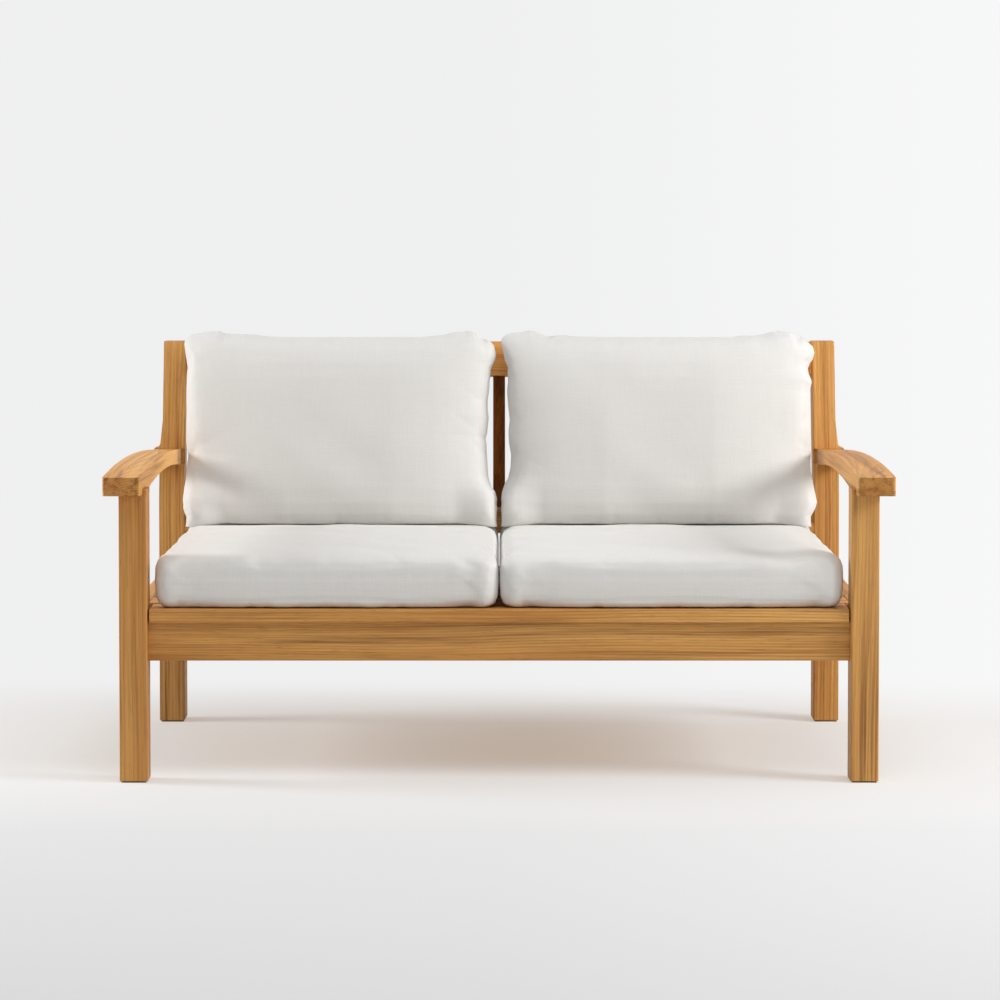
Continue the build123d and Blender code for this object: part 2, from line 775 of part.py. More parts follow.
def cushion_outline(plane, half_x, half_y, draw_x, draw_y, radius):
    """One level of a cushion: four sides drawn in between rounded corners."""
    with BuildSketch(plane) as outline:
        with BuildLine():
            ThreePointArc((-half_x, -half_y), (0, draw_y - half_y), (half_x, -half_y))
            ThreePointArc((half_x, -half_y), (half_x - draw_x, 0), (half_x, half_y))
            ThreePointArc((half_x, half_y), (0, half_y - draw_y), (-half_x, half_y))
            ThreePointArc((-half_x, half_y), (draw_x - half_x, 0), (-half_x, -half_y))
        face = make_face()
        fillet(face.vertices(), radius)
    return outline.sketch


# Seat cushions: each level is a share of the edge height or the crown, with how far it steps in
# as a share of the shorter half, and its corner radius as another.
seat_half_x = (cushion_clear_x - middle_gap / 2) / 2
seat_front = leg_front + seat_cushion_front_setback
seat_rear = lower_rail_front - seat_cushion_rear_gap
seat_half_y = (seat_rear - seat_front) / 2
seat_short_half = min(seat_half_x, seat_half_y)
seat_middle = ((cushion_clear_x + middle_gap / 2) / 2, (seat_front + seat_rear) / 2)
seat_wall_shares = ((0, 0.04, 0.1), (0.12, 0.012, 0.09), (0.5, 0, 0.085), (0.86, 0.012, 0.09),
                    (1, 0.055, 0.12))
seat_crown_shares = ((0.42, 0.22, 0.3), (0.8, 0.52, 0.34), (1, 0.88, 0.08))


def make_seat_cushion(inset):
    """A seat cushion's solid, taken in all over by the inset."""
    base = seat_height + rest_gap
    levels = []
    for height, step, radius in seat_wall_shares:
        level = base + inset + height * (seat_cushion_edge - inset * 2)
        levels.append((level, step * seat_short_half, radius * seat_short_half))
    for height, step, radius in seat_crown_shares:
        level = base + seat_cushion_edge - inset + height * seat_cushion_crown
        levels.append((level, step * seat_short_half, radius * seat_short_half))
    with BuildPart() as cushion:
        for level, step, radius in levels:
            draw = seat_draw_in * (seat_short_half - step) / seat_short_half
            place = Plane(origin=(*seat_middle, level), x_dir=(1, 0, 0), z_dir=(0, 0, 1))
            add(cushion_outline(place, seat_half_x - inset - step, seat_half_y - inset - step,
                                draw, draw, radius))
        loft(ruled=True)
        block((-overrun, landing_front - inset, landing_height - inset),
              (half_width, tail_y, back_height), mode=Mode.SUBTRACT)
    return cushion.part


# Back cushions: two halves meet at the seam, and each level is a share of the half's depth.
back_low_z = landing_height + rest_gap
back_cushion_low = up_rake(back_low_z - back_cushion_hidden)
back_cushion_high = up_rake(back_height + back_cushion_rise)
back_half_y = (back_cushion_high - back_cushion_low) / 2
back_left_x = back_cushion_middle_gap / 2
back_right_x = leg_inner - back_cushion_side_gap
back_half_x = (back_right_x - back_left_x) / 2
back_short_half = min(back_half_x, back_half_y)
back_middle = ((back_left_x + back_right_x) / 2, (back_cushion_low + back_cushion_high) / 2)
back_seam = back_cushion_rear_depth + rest_gap
back_front_shares = ((0, 0, 0), (0.3, 0.045, 0.12), (0.62, 0.14, 0.25), (0.86, 0.32, 0.36),
                     (0.97, 0.6, 0.22), (1, 0.8, 0.04))
back_rear_shares = ((0, 0, 0), (0.4, 0.045, 0.12), (0.8, 0.14, 0.25), (1, 0.28, 0.32))


def pillow_half(shares, depth, direction, inset):
    """One half of a back cushion, lofted from the seam outwards."""
    for height, step, radius in shares:
        deep = back_seam + direction * height * (depth - inset)
        centre = back_plane.from_local_coords(Vector(*back_middle, deep))
        place = Plane(origin=centre, x_dir=back_plane.x_dir, z_dir=back_plane.z_dir)
        step_in = step * back_short_half
        shrink = (back_short_half - step_in) / back_short_half
        add(cushion_outline(place, back_half_x - inset - step_in, back_half_y - inset - step_in,
                            back_side_draw_in * shrink, back_top_draw_in * shrink,
                            seam_corner_radius + radius * back_short_half))
    loft(ruled=True)


def make_back_cushion(inset):
    """A back cushion's solid, taken in all over by the inset, flat below and behind."""
    seam_inset = inset * 2
    with BuildPart() as cushion:
        pillow_half(back_front_shares, back_cushion_front_depth, 1, seam_inset)
        pillow_half(back_rear_shares, back_cushion_rear_depth, -1, seam_inset)
        split(bisect_by=Plane.XY.offset(back_low_z + inset), keep=Keep.TOP)
    return cushion.part


def save_cushions(make, name):
    """Write the cover and the core of a cushion for both seats."""
    outer = make(0)
    hollow = make(cover_thickness)
    inner = make(cover_thickness + core_gap)
    with BuildPart() as cover:
        add(outer)
        add(hollow, mode=Mode.SUBTRACT)
    save_both_sides(cover.part, f"{name}_cover")
    with BuildPart() as core:
        add(inner)
    save_both_sides(core.part, f"{name}_core")


save_cushions(make_seat_cushion, "seat_cushion")
save_cushions(make_back_cushion, "back_cushion")
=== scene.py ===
import bpy
import math
import random
import numpy as np
from mathutils import Euler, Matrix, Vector


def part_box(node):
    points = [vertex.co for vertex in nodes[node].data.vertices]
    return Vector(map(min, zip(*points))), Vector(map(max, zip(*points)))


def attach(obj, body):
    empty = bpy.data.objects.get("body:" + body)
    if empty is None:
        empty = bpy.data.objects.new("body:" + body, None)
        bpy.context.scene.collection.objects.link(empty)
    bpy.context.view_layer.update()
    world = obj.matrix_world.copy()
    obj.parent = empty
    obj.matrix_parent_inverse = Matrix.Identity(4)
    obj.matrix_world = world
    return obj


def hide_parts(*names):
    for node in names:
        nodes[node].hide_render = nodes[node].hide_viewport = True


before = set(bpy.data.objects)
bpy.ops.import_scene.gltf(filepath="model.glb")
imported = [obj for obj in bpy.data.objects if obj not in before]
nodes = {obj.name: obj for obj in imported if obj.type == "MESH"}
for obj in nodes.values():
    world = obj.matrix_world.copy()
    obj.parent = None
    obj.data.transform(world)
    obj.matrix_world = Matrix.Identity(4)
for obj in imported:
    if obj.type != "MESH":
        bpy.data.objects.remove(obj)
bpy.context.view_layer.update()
scene = bpy.context.scene
scene.view_settings.view_transform = "Standard"
print("frame loaded,", len(nodes), "nodes")


# Shader steps that the sky, the floor and the materials share

def addNode(tree, kind, **settings):
    node = tree.nodes.new(kind)
    for key, value in settings.items():
        setattr(node, key, value)
    return node


def feed(tree, socket, value):
    # a socket takes a link from another socket, or a plain value
    if isinstance(value, bpy.types.NodeSocket):
        tree.links.new(value, socket)
    else:
        socket.default_value = value


def combine(tree, operation, first, second=0.0, kind="ShaderNodeMath"):
    node = addNode(tree, kind, operation=operation)
    feed(tree, node.inputs[0], first)
    feed(tree, node.inputs[1], second)
    return node.outputs[0]


def combineVectors(tree, operation, first, second):
    return combine(tree, operation, first, second, "ShaderNodeVectorMath")


def mapped(tree, value, low, high, newLow=0.0, newHigh=1.0, curve="LINEAR"):
    ranged = addNode(tree, "ShaderNodeMapRange", interpolation_type=curve)
    ends = {"From Min": low, "From Max": high, "To Min": newLow, "To Max": newHigh}
    for key, number in ends.items():
        ranged.inputs[key].default_value = number
    tree.links.new(value, ranged.inputs["Value"])
    return ranged.outputs[0]


def mixColor(tree, factor, first, second, blend="MIX"):
    mix = addNode(tree, "ShaderNodeMix", data_type="RGBA", blend_type=blend)
    for place, value in (("Factor", factor), (6, first), (7, second)):  # 6 and 7 are its colours
        feed(tree, mix.inputs[place], value)
    return mix.outputs[2]


def mixShader(tree, factor, first, second):
    mix = addNode(tree, "ShaderNodeMixShader")
    for place, value in enumerate((factor, first, second)):
        tree.links.new(value, mix.inputs[place])
    return mix.outputs[0]


def splitVector(tree, vector):
    split = addNode(tree, "ShaderNodeSeparateXYZ")
    tree.links.new(vector, split.inputs[0])
    return split.outputs


def stretchedNoise(tree, vector, stretch, detail, roughness, output=0):
    noise = addNode(tree, "ShaderNodeTexNoise")
    noise.inputs["Scale"].default_value = 1.0
    noise.inputs["Detail"].default_value = detail
    noise.inputs["Roughness"].default_value = roughness
    scaled = combineVectors(tree, "MULTIPLY", vector, stretch)
    tree.links.new(scaled, noise.inputs["Vector"])
    return noise.outputs[output]


def startGroup(name, takes, gives):
    group = bpy.data.node_groups.new(name, "ShaderNodeTree")
    for way, sockets in (("INPUT", takes), ("OUTPUT", gives)):
        for label, kind in sockets.items():
            group.interface.new_socket(name=label, in_out=way, socket_type=f"NodeSocket{kind}")
    return group, addNode(group, "NodeGroupInput"), addNode(group, "NodeGroupOutput")


def startMaterial(name):
    material = bpy.data.materials.new(name)
    material.use_nodes = True
    tree = material.node_tree
    return material, tree, tree.nodes["Principled BSDF"]


def addBump(tree, shader, height, strength, distance, normal=None):
    bump = addNode(tree, "ShaderNodeBump")
    bump.inputs["Strength"].default_value = strength
    bump.inputs["Distance"].default_value = distance
    tree.links.new(height, bump.inputs["Height"])
    if normal:
        tree.links.new(normal, bump.inputs["Normal"])
    tree.links.new(bump.outputs["Normal"], shader.inputs["Normal"])


# The view and the light

viewpoint = {
    "place": (0.0, -5.4956, 1.0278),
    "tiltDown": math.radians(2),
    "lens": 104.2,
    "shiftX": 0.0009,
    "shiftY": -0.19,
}

studio = {
    "rightPlace": (3.9, -1.25, 2.2),
    "rightSize": 1.6,
    "rightPower": 133,
    "leftPlace": (-4.0, 0.1, 1.8),
    "leftSize": 1.3,
    "leftPower": 105,
    "topPlace": (0.6, -2.0, 4.4),
    "topSize": 2.6,
    "topPower": 50,
    "aim": (0.0, 0.0, 0.4),
    "skyLight": 0.37,
    "skyColor": (0.985, 0.99, 1.0, 1),
    "backdrop": (0.868, 0.87, 0.872, 1),
    # the backdrop grows brighter to the right: painted light
    "rightGlow": 1.075,
    "glowEdge": 0.17,
}


def setCamera(values):
    data = bpy.data.cameras.new("photoView")
    data.lens = values["lens"]
    data.shift_x = values["shiftX"]
    data.shift_y = values["shiftY"]
    camera = bpy.data.objects.new("photoView", data)
    camera.location = values["place"]
    camera.rotation_euler = (math.pi / 2 - values["tiltDown"], 0, 0)
    scene.collection.objects.link(camera)
    scene.camera = camera


def addLamp(name, place, size, power, aim):
    data = bpy.data.lights.new(name, "AREA")
    data.shape = "DISK"
    data.size = size
    data.energy = power
    lamp = bpy.data.objects.new(name, data)
    lamp.location = place
    lamp.rotation_euler = (Vector(aim) - Vector(place)).to_track_quat("-Z", "Y").to_euler()
    scene.collection.objects.link(lamp)


def rayMask(tree):
    # one for what the camera sees, straight on or through gloss and glass
    path = addNode(tree, "ShaderNodeLightPath").outputs
    seen = combine(tree, "MAXIMUM", path["Is Camera Ray"], path["Is Glossy Ray"])
    return combine(tree, "MAXIMUM", seen, path["Is Transmission Ray"])


def backdropColor(tree, aside):
    # the backdrop's colour, by how far aside the sight line goes: painted light, brighter towards
    # the right, the side of the right lamp
    glow = mapped(tree, aside, 0.0, studio["glowEdge"], 1.0, studio["rightGlow"])
    scaled = addNode(tree, "ShaderNodeVectorMath", operation="SCALE")
    scaled.inputs[0].default_value = studio["backdrop"][:3]
    tree.links.new(glow, scaled.inputs["Scale"])
    return scaled.outputs[0]


def setSky(values):
    world = bpy.data.worlds.new("studio")
    world.use_nodes = True
    tree = world.node_tree
    tree.nodes.clear()
    light = addNode(tree, "ShaderNodeBackground")
    light.inputs["Color"].default_value = values["skyColor"]
    light.inputs["Strength"].default_value = values["skyLight"]
    shown = addNode(tree, "ShaderNodeBackground")
    direction = addNode(tree, "ShaderNodeTexCoord").outputs["Generated"]
    aside = splitVector(tree, direction)["X"]
    tree.links.new(backdropColor(tree, aside), shown.inputs["Color"])
    out = addNode(tree, "ShaderNodeOutputWorld")
    sky = mixShader(tree, rayMask(tree), light.outputs[0], shown.outputs[0])
    tree.links.new(sky, out.inputs[0])
    scene.world = world


setCamera(viewpoint)
setSky(studio)
for side in ("right", "left", "top"):
    addLamp(f"{side}Lamp", studio[f"{side}Place"], studio[f"{side}Size"], studio[f"{side}Power"],
            studio["aim"])
print("camera and lamps set")


# The floor

floorValues = {
    "size": 80.0,
    "bounce": (0.74, 0.735, 0.72, 1),
    "shown": (0.43, 0.49, 0.54, 1),
    # the warm lift and the cool shown colour add up to neutral where the floor is lit; in the
    # shadow the warm lift stays: painted warm light, as if bounced off the wood
    "lift": (0.415, 0.351, 0.298, 1),
    # from one place to another in metres, and the strength at each
    "nearShade": (-1.9, -0.6, 0.91, 1.0),
    "edgeShade": (-0.75, -0.3, 0.92, 1.0),
    "rightPaintedLight": (0.0, 0.6, 1.0, 1.09),
    "backdropBlend": (0.25, 0.85, 0.0, 1.0),
}


def deselectAll():
    bpy.ops.object.select_all(action="DESELECT")


def makeFloor(values):
    deselectAll()
    bpy.ops.mesh.primitive_plane_add(size=values["size"], location=(0, 0, 0))
    floor = bpy.context.object
    floor.name = "studioFloor"
    material = bpy.data.materials.new("studioFloor")
    material.use_nodes = True
    tree = material.node_tree
    tree.nodes.clear()
    spot = splitVector(tree, addNode(tree, "ShaderNodeTexCoord").outputs["Object"])
    # what the lamps meet
    bounce = addNode(tree, "ShaderNodeBsdfDiffuse")
    bounce.inputs["Color"].default_value = values["bounce"]
    # what the view shows: a lit floor that keeps the shadow, with painted light and shade laid on
    # it, then the backdrop
    near = addNode(tree, "ShaderNodeBsdfDiffuse")
    lift = addNode(tree, "ShaderNodeEmission")
    lift.inputs["Color"].default_value = values["lift"]
    # painted shade: the floor darkens towards the camera and at the front edge of the shadow;
    # painted light: it brightens to the right
    shade = combine(tree, "MULTIPLY", mapped(tree, spot["Y"], *values["nearShade"]),
                    mapped(tree, spot["Y"], *values["edgeShade"]))
    lifted = combine(tree, "MULTIPLY", shade, mapped(tree, spot["X"], *values["rightPaintedLight"]))
    tree.links.new(mixColor(tree, 1.0, values["shown"], shade, "MULTIPLY"), near.inputs["Color"])
    tree.links.new(lifted, lift.inputs["Strength"])
    lit = addNode(tree, "ShaderNodeAddShader")
    tree.links.new(near.outputs[0], lit.inputs[0])
    tree.links.new(lift.outputs[0], lit.inputs[1])
    far = addNode(tree, "ShaderNodeEmission")
    reach = combine(tree, "SUBTRACT", spot["Y"], viewpoint["place"][1])
    aside = combine(tree, "DIVIDE", spot["X"], reach)
    tree.links.new(backdropColor(tree, aside), far.inputs["Color"])
    fade = mapped(tree, spot["Y"], *values["backdropBlend"], "SMOOTHSTEP")
    seen = mixShader(tree, fade, lit.outputs[0], far.outputs[0])
    out = addNode(tree, "ShaderNodeOutputMaterial")
    surface = mixShader(tree, rayMask(tree), bounce.outputs[0], seen)
    tree.links.new(surface, out.inputs["Surface"])
    floor.data.materials.append(material)


makeFloor(floorValues)
print("floor laid")


# Hardwood

grainValues = {
    # noises: stretch along and across the grain, detail, roughness
    "bend": ((1.0, 6.0, 6.0), 1.0, 0.5),
    "ringNoise": ((1.2, 60.0, 60.0), 2.0, 0.5),
    "broad": ((0.9, 14.0, 14.0), 2.0, 0.55),
    "streaks": ((1.3, 80.0, 80.0), 4.0, 0.68),
    "fibres": ((7.0, 430.0, 430.0), 3.0, 0.65),
    "pores": ((30.0, 1000.0, 1000.0), 1.0, 0.5),
    "bendReach": (0.0, 0.034, 0.034),
    # from one value of a noise to another, and the weight at each
    "ringWeight": (0.35, 0.7, 0.15, 1.0),
    "broadWeight": (0.34, 0.66, 0.12, 0.88),
    "palerWeight": (0.49, 0.33, 0.0, 0.62),
    "darkerWeight": (0.51, 0.70, 0.0, 0.70),
    "fibreShade": (0.3, 0.7, 0.86, 1.12),
    "poreWeight": (0.64, 0.72, 0.0, 0.35),
    "roughness": (0.3, 0.7, 0.44, 0.6),
    # a ring darkens slowly towards its end, and stops sharply
    "ringCurve": 2.6,
    "ringEnd": (0.93, 1.0, 1.0, 0.0),
    "ringDepth": 0.62,
    "ringRelief": 0.25,
    "fibreRelief": 0.6,
}


def makeGrainGroup(values):
    group, given, out = startGroup(
        "hardwoodGrain",
        {"Vector": "Vector", "Light": "Color", "Middle": "Color", "Dark": "Color",
         "Ring Spacing": "Float", "Pith": "Vector"},
        {"Color": "Color", "Roughness": "Float", "Height": "Float"})
    vector = given.outputs["Vector"]
    light, middle, dark = [given.outputs[key] for key in ("Light", "Middle", "Dark")]
    # growth rings round a pith line outside the board, bent a little along their length
    bend = stretchedNoise(group, vector, *values["bend"], "Color")
    centred = combineVectors(group, "SUBTRACT", bend, (0.5, 0.5, 0.5))
    spread = combineVectors(group, "MULTIPLY", centred, values["bendReach"])
    bent = combineVectors(group, "ADD", vector, spread)
    moved = combineVectors(group, "ADD", bent, given.outputs["Pith"])
    across = combineVectors(group, "MULTIPLY", moved, (0.0, 1.0, 1.0))
    radius = addNode(group, "ShaderNodeVectorMath", operation="LENGTH")
    group.links.new(across, radius.inputs[0])
    count = combine(group, "DIVIDE", radius.outputs["Value"], given.outputs["Ring Spacing"])
    phase = combine(group, "FRACT", count)
    ring = combine(group, "MULTIPLY", combine(group, "POWER", phase, values["ringCurve"]),
                   mapped(group, phase, *values["ringEnd"]))
    strength = stretchedNoise(group, bent, *values["ringNoise"])
    ring = combine(group, "MULTIPLY", ring, mapped(group, strength, *values["ringWeight"]))
    broad = stretchedNoise(group, bent, *values["broad"])
    streaks = stretchedNoise(group, bent, *values["streaks"])
    fibres = stretchedNoise(group, vector, *values["fibres"])
    pores = stretchedNoise(group, vector, *values["pores"])
    poreMask = mapped(group, pores, *values["poreWeight"])
    color = mixColor(group, mapped(group, broad, *values["broadWeight"]), light, middle)
    color = mixColor(group, mapped(group, streaks, *values["palerWeight"]), color, light)
    color = mixColor(group, mapped(group, streaks, *values["darkerWeight"]), color, dark)
    color = mixColor(group, combine(group, "MULTIPLY", ring, values["ringDepth"]), color, dark)
    color = mixColor(group, 1.0, color, mapped(group, fibres, *values["fibreShade"]), "MULTIPLY")
    color = mixColor(group, poreMask, color, dark)
    hollows = combine(group, "ADD", poreMask,
                      combine(group, "MULTIPLY", ring, values["ringRelief"]))
    height = combine(group, "SUBTRACT",
                     combine(group, "MULTIPLY", fibres, values["fibreRelief"]), hollows)
    group.links.new(color, out.inputs["Color"])
    group.links.new(mapped(group, fibres, *values["roughness"]), out.inputs["Roughness"])
    group.links.new(height, out.inputs["Height"])
    return group


grainGroup = makeGrainGroup(grainValues)

grainTurn = {
    "x": (0.0, 0.0, 0.0),
    "y": (0.0, 0.0, -math.pi / 2),
    "z": (0.0, math.pi / 2, 0.0),
}

woodLook = {
    "light": (0.76, 0.405, 0.118),
    "middle": (0.50, 0.204, 0.042),
    "dark": (0.15, 0.041, 0.007),
    "endGrain": (0.76, 0.70, 0.62, 1),
    "endFacing": (0.75, 0.95),
    # how far one piece may differ from the next
    "warmth": 0.04,
    "shade": 0.06,
    "ringTurn": 0.25,
    "pithReach": (0.07, 0.16),
    "ringSpacing": (0.004, 0.0056),
    "slide": 9,
    # pieces with a tint below this turn redder as they darken: painted shade, which only the back
    # slats take
    "paintedShadeBelow": 0.7,
    "paintedShadeRedness": 1.1,
    "blueLoss": 1.8,
    "gloss": 0.3,
    "mostGloss": 0.45,
    "postDepth": 0.12,
    "bevel": 0.0022,
    "bevelSamples": 4,
    "bumpDistance": 0.0005,
    "bumpStrength": 0.4,
}


def makeWood(node, grain, tint, turn, seed):
    dice = random.Random(seed)
    look = woodLook
    middle = sum((Vector(corner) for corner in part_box(node)), Vector()) / 2
    material, tree, shader = startMaterial(f"hardwood_{node}")
    coordinates = addNode(tree, "ShaderNodeTexCoord").outputs
    place = addNode(tree, "ShaderNodeMapping")
    place.inputs["Rotation"].default_value = grainTurn[grain]
    if "post" in node:
        # the posts lean back, so their grain hardly changes with depth and follows the lean
        place.inputs["Scale"].default_value = (1, look["postDepth"], 1)
        middle.y *= look["postDepth"]
    middle.rotate(Euler(grainTurn[grain]))
    slide = dice.uniform(-look["slide"], look["slide"])
    place.inputs["Location"].default_value = (slide, -middle.y, -middle.z)
    warm = dice.uniform(-look["warmth"], look["warmth"])
    # a dark piece turns redder: painted shade on the back slats
    warm += max(0.0, look["paintedShadeBelow"] - tint) * look["paintedShadeRedness"]
    shade = tint * (1 + dice.uniform(-look["shade"], look["shade"]))
    wood = addNode(tree, "ShaderNodeGroup", node_tree=grainGroup)
    for key in ("light", "middle", "dark"):
        red, green, blue = [part * shade for part in look[key]]
        color = (red, green * (1 - warm), blue * (1 - warm * look["blueLoss"]), 1)
        wood.inputs[key.capitalize()].default_value = color
    turn += dice.uniform(-look["ringTurn"], look["ringTurn"])
    reach = dice.uniform(*look["pithReach"])
    wood.inputs["Ring Spacing"].default_value = dice.uniform(*look["ringSpacing"])
    wood.inputs["Pith"].default_value = (0, reach * math.cos(turn), reach * math.sin(turn))
    gloss = min(look["mostGloss"], tint * look["gloss"])
    shader.inputs["Specular IOR Level"].default_value = gloss
    facing = splitVector(tree, coordinates["Normal"])[grain.upper()]
    endMask = mapped(tree, combine(tree, "ABSOLUTE", facing), *look["endFacing"])
    endColor = mixColor(tree, 1.0, wood.outputs["Color"], look["endGrain"], "MULTIPLY")
    color = mixColor(tree, endMask, wood.outputs["Color"], endColor)
    bevel = addNode(tree, "ShaderNodeBevel", samples=look["bevelSamples"])
    bevel.inputs["Radius"].default_value = look["bevel"]
    tree.links.new(coordinates["Object"], place.inputs["Vector"])
    tree.links.new(place.outputs["Vector"], wood.inputs["Vector"])
    tree.links.new(color, shader.inputs["Base Color"])
    tree.links.new(wood.outputs["Roughness"], shader.inputs["Roughness"])
    addBump(tree, shader, wood.outputs["Height"], look["bumpStrength"], look["bumpDistance"],
            bevel.outputs["Normal"])
    return material


# grain direction, tint, and the turn of the growth rings from the piece's second axis
woodPieces = {
    "front_leg_left": ("z", 0.93, 0.9), "front_leg_right": ("z", 1.0, 0.7),
    # the back posts are a little lighter: painted light where the seat and the cushions shade their
    # lower parts
    "back_post_left": ("z", 1.08, 1.0), "back_post_right": ("z", 1.08, 0.8),
    "armrest_left": ("y", 1.04, 1.4), "armrest_right": ("y", 1.0, 1.4),
    "front_apron": ("x", 0.96, 1.1), "rear_seat_rail": ("x", 0.96, 1.0),
    "side_rail_left": ("y", 0.96, 1.1), "side_rail_right": ("y", 0.96, 1.0),
    "slat_cleat_left": ("y", 0.92, 0.8), "slat_cleat_right": ("y", 0.92, 0.6),
    # the top rail's tint of 1.3 is painted light, lifting it where the raised corners of the
    # cushions shade it
    "centre_bearer": ("y", 0.92, 0.9), "top_rail": ("x", 1.3, 1.0),
    "lower_back_rail": ("x", 0.96, 1.0), "corner_blocks": ("x", 0.92, 0.8),
    "dowels": ("x", 1.1, 0.5), "arm_plugs": ("x", 0.96, 0.5),
}
for number in range(1, 8):
    woodPieces[f"seat_slat_{number}"] = ("x", 1.0, 0.5)
# the back slats are dark and red: painted shade for the shadow between the cushions, on every slat
# alike
for number in range(1, 12):
    woodPieces[f"back_slat_{number}"] = ("z", 0.32, 0.9)


def dress(node, material):
    data = nodes[node].data
    data.materials.clear()
    data.materials.append(material)


firstWoodSeed = 40
for seed, (node, (grain, tint, turn)) in enumerate(woodPieces.items(), firstWoodSeed):
    dress(node, makeWood(node, grain, tint, turn, seed))
print("hardwood dressed")


# Steel hardware and the nylon glides

steelLook = {
    "color": (0.56, 0.56, 0.55, 1),
    "dull": (0.34, 0.34, 0.33, 1),
    "scale": 900.0,
    "metallic": 1.0,
    "roughness": (0.35, 0.7, 0.3, 0.5),
}

glideLook = {
    "color": (0.17, 0.10, 0.055, 1),
    "dull": (0.24, 0.155, 0.09, 1),
    "scale": 420.0,
    "metallic": 0.0,
    "roughness": (0.35, 0.7, 0.5, 0.7),
}

speckValues = {
    "detail": 3.0,
    "noiseRoughness": 0.6,
    "dullWeight": (0.4, 0.7),
    "bumpStrength": 0.2,
    "bumpDistance": 0.0002,
}


def makeSpeckled(name, look, values):
    material, tree, shader = startMaterial(name)
    shader.inputs["Metallic"].default_value = look["metallic"]
    spot = addNode(tree, "ShaderNodeTexCoord").outputs["Object"]
    speck = stretchedNoise(tree, spot, (look["scale"],) * 3, values["detail"],
                           values["noiseRoughness"])
    color = mixColor(tree, mapped(tree, speck, *values["dullWeight"]), look["color"], look["dull"])
    tree.links.new(color, shader.inputs["Base Color"])
    tree.links.new(mapped(tree, speck, *look["roughness"]), shader.inputs["Roughness"])
    addBump(tree, shader, speck, values["bumpStrength"], values["bumpDistance"])
    return material


zincSteel = makeSpeckled("zincSteel", steelLook, speckValues)
for node in ("frame_bolts", "bolt_washers", "barrel_nuts",
             "slat_screws", "frame_screws", "arm_screws"):
    dress(node, zincSteel)
dress("foot_glides", makeSpeckled("nylonGlide", glideLook, speckValues))
print("hardware dressed")


# Canvas

weaveValues = {
    # noises: stretch across and along the cloth, detail, roughness
    "wander": ((40.0, 40.0, 40.0), 2.0, 0.5),
    "weft": ((30.0, 620.0, 1.0), 2.0, 0.6),
    "warp": ((620.0, 30.0, 1.0), 2.0, 0.6),
    "wanderTurn": 9.0,
    "slubWeight": (0.35, 0.75),
    "shade": (0.3, 1.4),
    "threadRelief": 0.28,
}


def makeWeaveGroup(values):
    group, given, out = startGroup("canvasWeave", {"Vector": "Vector", "Pitch": "Float"},
                                   {"Shade": "Float", "Height": "Float"})
    vector = given.outputs["Vector"]
    wander = stretchedNoise(group, vector, *values["wander"])
    turns = combine(group, "DIVIDE", 2 * math.pi, given.outputs["Pitch"])
    spot = splitVector(group, vector)
    threads, slubs = [], []
    for axis in ("X", "Y"):
        angle = combine(group, "MULTIPLY", spot[axis], turns)
        shifted = combine(group, "ADD", angle,
                          combine(group, "MULTIPLY", wander, values["wanderTurn"]))
        threads.append(combine(group, "SINE", shifted))
    for name in ("weft", "warp"):
        noise = stretchedNoise(group, vector, *values[name])
        slubs.append(mapped(group, noise, *values["slubWeight"]))
    slub = combine(group, "ADD", *slubs)
    crossing = combine(group, "MULTIPLY", *threads)
    threadHeight = combine(group, "MULTIPLY", crossing, values["threadRelief"])
    height = combine(group, "ADD", threadHeight, slub)
    group.links.new(mapped(group, slub, *values["shade"]), out.inputs["Shade"])
    group.links.new(height, out.inputs["Height"])
    return group


weaveGroup = makeWeaveGroup(weaveValues)

canvasLook = {
    "color": (0.74, 0.727, 0.70, 1),
    "shadow": (0.718, 0.703, 0.674, 1),
    "pitch": 0.0016,
    "slide": 3,
    "roughness": (0.0, 1.0, 0.95, 0.85),
    "sheen": 0.1,
    "sheenRoughness": 0.5,
    "gloss": 0.25,
    "bumpDistance": 0.0007,
    "bumpStrength": 0.16,
}


def makeCanvas(name, look, seed):
    dice = random.Random(seed)
    material, tree, shader = startMaterial(name)
    shader.inputs["Sheen Weight"].default_value = look["sheen"]
    shader.inputs["Sheen Roughness"].default_value = look["sheenRoughness"]
    shader.inputs["Specular IOR Level"].default_value = look["gloss"]
    place = addNode(tree, "ShaderNodeMapping")
    slide = [dice.uniform(-look["slide"], look["slide"]) for axis in range(3)]
    place.inputs["Location"].default_value = slide
    weave = addNode(tree, "ShaderNodeGroup", node_tree=weaveGroup)
    weave.inputs["Pitch"].default_value = look["pitch"]
    shade = weave.outputs["Shade"]
    cloth = addNode(tree, "ShaderNodeUVMap", uv_map="clothGrain").outputs["UV"]
    tree.links.new(cloth, place.inputs["Vector"])
    tree.links.new(place.outputs["Vector"], weave.inputs["Vector"])
    color = mixColor(tree, shade, look["shadow"], look["color"])
    tree.links.new(color, shader.inputs["Base Color"])
    tree.links.new(mapped(tree, shade, *look["roughness"]), shader.inputs["Roughness"])
    addBump(tree, shader, weave.outputs["Height"], look["bumpStrength"], look["bumpDistance"])
    return material


# Steps that all cushions share

clothValues = {
    "quality": 6,
    "mass": 0.35,
    "stretch": 12.0,
    "shear": 4.0,
    "bend": 0.6,
    "pressure": 4.0,
    "drawIn": 0.35,
    "frames": 20,
    "leastMove": 1e-9,
}

outlineValues = {
    # the part of a side that is read, in how many rows, and how wide a row is
    "sideReach": 0.88,
    "sideRows": 31,
    "rowWidth": 0.04,
}


def readPoints(piece):
    points = np.empty(len(piece.data.vertices) * 3)
    piece.data.vertices.foreach_get("co", points)
    return points.reshape(-1, 3)


def writePoints(piece, points):
    piece.data.vertices.foreach_set("co", points.ravel())
    piece.data.update()


def makeActive(piece):
    deselectAll()
    piece.select_set(True)
    bpy.context.view_layer.objects.active = piece


